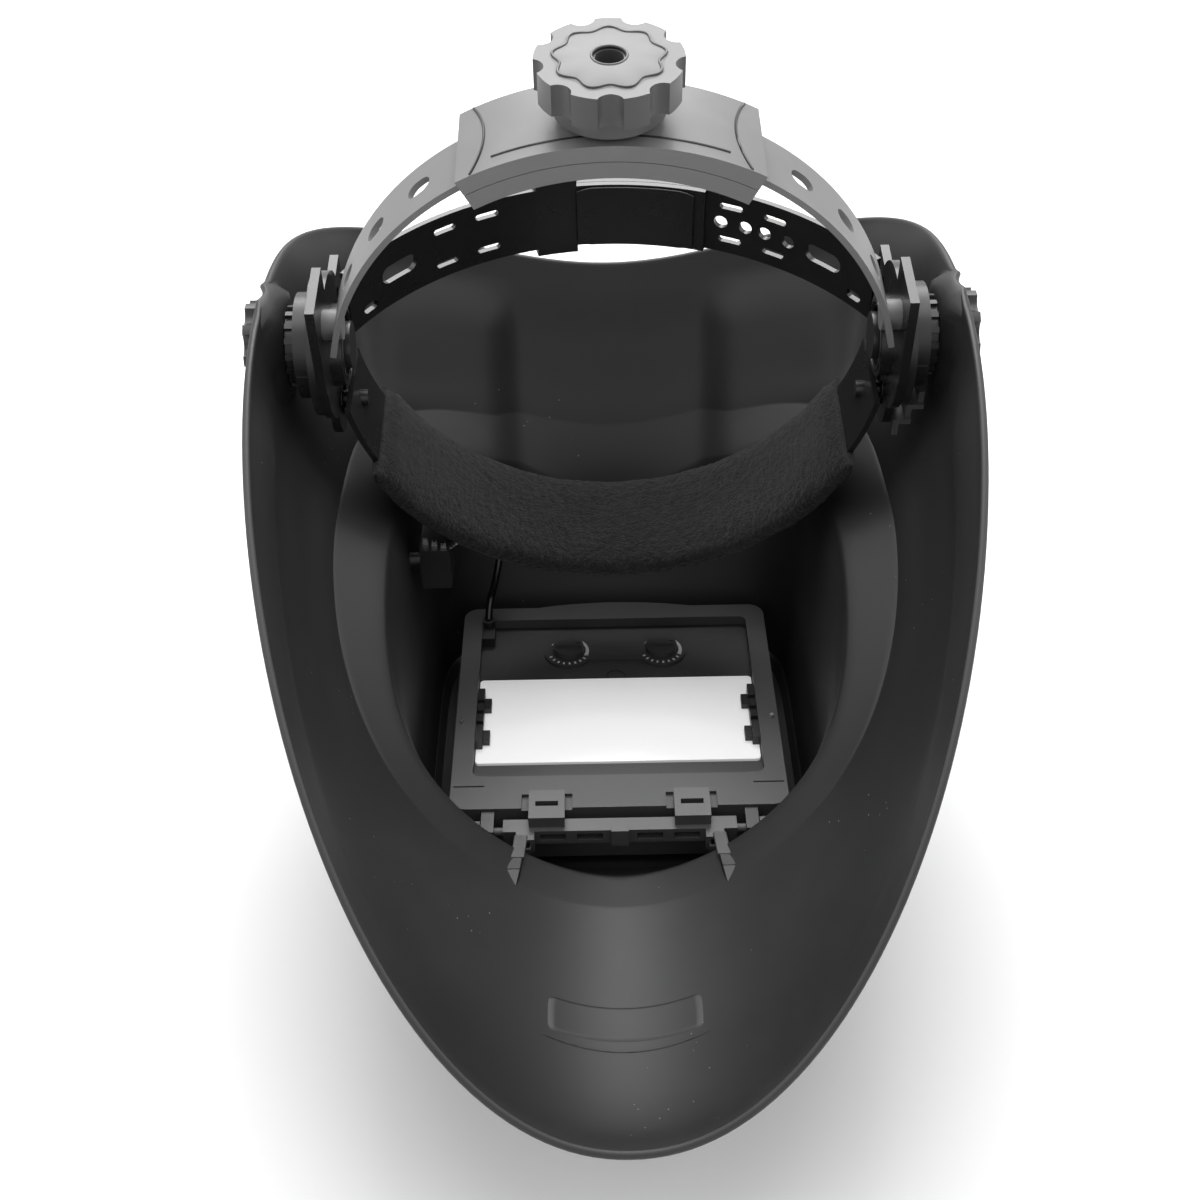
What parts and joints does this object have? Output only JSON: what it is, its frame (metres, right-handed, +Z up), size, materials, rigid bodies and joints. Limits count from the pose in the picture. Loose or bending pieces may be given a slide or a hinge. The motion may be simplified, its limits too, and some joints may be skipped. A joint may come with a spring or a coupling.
{
  "type": "welding helmet",
  "caption": "Auto-darkening welding helmet with a deep shell, filter cartridge in a latched frame, and pivoting ratchet headgear with a padded brow band.",
  "frame": {"origin": "middle of the footprint, on the flat front face that it rests on", "axes": "X to the right of the pictured view, Y from chin to crown, Z up from the front face towards the wearer"},
  "size_m": [0.246, 0.336, 0.2824],
  "materials": {
    "shell_plastic": "moulded, fine matt texture",
    "clear_lens": "clear polycarbonate",
    "gasket_rubber": "soft",
    "frame_plastic": "moulded satin",
    "filter_case": "moulded satin",
    "filter_glass": "green coated glass",
    "board": "glass-fibre board",
    "cell": "dark cell",
    "battery": "plated",
    "dial_plastic": "moulded",
    "cover_plate": "clear plate over a white film",
    "clip_plastic": "moulded",
    "latch_plastic": "moulded satin",
    "cable_jacket": "smooth jacket",
    "band_plastic": "glossy moulded",
    "sweatband_fabric": "short pile towelling over foam",
    "grey_plastic": "moulded satin, light grey",
    "screw_steel": "zinc plated",
    "hub_plastic": "moulded satin",
    "stop_plastic": "moulded grey"
  },
  "bodies": {
    "helmet": {"shell": "shell_plastic", "front_cover_lens": "clear_lens", "lens_gasket": "gasket_rubber", "adf_frame": "frame_plastic", "adf_front_case": "filter_case", "adf_back_case": "filter_case", "lcd_glass": "filter_glass", "circuit_board": "board", "solar_cell": "cell", "battery_left": "battery", "battery_right": "battery", "arc_sensors": "cell", "inner_cover_plate": "cover_plate", "lens_clip_left": "clip_plastic", "lens_clip_right": "clip_plastic", "latch_bracket_left": "clip_plastic", "latch_bracket_right": "clip_plastic", "shade_cable": "cable_jacket", "cable_boot": "clip_plastic", "shade_pot": "clip_plastic", "tilt_stop_arm": "stop_plastic"},
    "headgear": {"headband_front": "band_plastic", "sweatband": "sweatband_fabric", "side_plate_left": "band_plastic", "side_plate_right": "band_plastic", "crown_strap_left": "band_plastic", "crown_strap_right": "band_plastic", "rear_strap_left": "grey_plastic", "rear_strap_right": "grey_plastic", "ratchet_case_outer": "grey_plastic", "ratchet_case_inner": "grey_plastic", "hub_left": "hub_plastic", "hub_right": "hub_plastic", "toothed_washer_left": "hub_plastic", "toothed_washer_right": "hub_plastic", "pivot_bolt_left": "hub_plastic", "pivot_bolt_right": "hub_plastic"},
    "ratchet_dial": {"ratchet_knob": "grey_plastic", "ratchet_screw": "screw_steel"},
    "left_rack": {"rack_left": "grey_plastic"},
    "right_rack": {"rack_right": "grey_plastic"},
    "left_tension": {"tension_knob_left": "hub_plastic"},
    "right_tension": {"tension_knob_right": "hub_plastic"},
    "sensitivity_dial": {"sensitivity_knob": "dial_plastic"},
    "delay_dial": {"delay_knob": "dial_plastic"},
    "shade_dial": {"shade_knob": "dial_plastic"},
    "latch": {"latch_bar": "latch_plastic"}
  },
  "joints": [
    {"name": "headgear_tilt", "type": "hinge", "parent": "helmet", "child": "headgear", "pos_m": [0, 0.074, 0.168], "axis": [-1, 0, 0], "range_deg": [0, 70]},
    {"name": "tension_knob_left_turn", "type": "hinge", "parent": "headgear", "child": "left_tension", "pos_m": [-0.118, 0.074, 0.168], "axis": [-1, 0, 0], "range_deg": [-360, 360]},
    {"name": "tension_knob_right_turn", "type": "hinge", "parent": "headgear", "child": "right_tension", "pos_m": [0.118, 0.074, 0.168], "axis": [1, 0, 0], "range_deg": [-360, 360]},
    {"name": "ratchet_turn", "type": "hinge", "parent": "headgear", "child": "ratchet_dial", "pos_m": [0, 0.04151, 0.26361], "axis": [0, -0.1874, 0.9823], "range_deg": [0, 180]},
    {"name": "rack_left_slide", "type": "hinge", "parent": "headgear", "child": "left_rack", "pos_m": [0, 0.074, 0.168], "axis": [0, 0.9823, 0.1874], "range_deg": [0, 10.28]},
    {"name": "rack_right_slide", "type": "hinge", "parent": "headgear", "child": "right_rack", "pos_m": [0, 0.074, 0.168], "axis": [0, 0.9823, 0.1874], "range_deg": [-10.28, 0]},
    {"name": "sensitivity_turn", "type": "hinge", "parent": "helmet", "child": "sensitivity_dial", "pos_m": [-0.0183, 0.079, 0.028], "axis": [0, 0, 1], "range_deg": [-135, 135]},
    {"name": "delay_turn", "type": "hinge", "parent": "helmet", "child": "delay_dial", "pos_m": [0.0183, 0.079, 0.028], "axis": [0, 0, 1], "range_deg": [-135, 135]},
    {"name": "shade_turn", "type": "hinge", "parent": "helmet", "child": "shade_dial", "pos_m": [-0.09, 0.072, 0.078], "axis": [-1, 0, 0], "range_deg": [-135, 135]},
    {"name": "latch_swing", "type": "hinge", "parent": "helmet", "child": "latch", "pos_m": [0, -0.018, 0.025], "axis": [1, 0, 0], "range_deg": [0, 12], "stiffness_Nm_per_rad": 0.4}
  ],
  "couplings": [
    {"joint": "rack_left_slide", "follows": "ratchet_turn", "ratio": 0.054348},
    {"joint": "rack_right_slide", "follows": "ratchet_turn", "ratio": -0.054348}
  ]
}
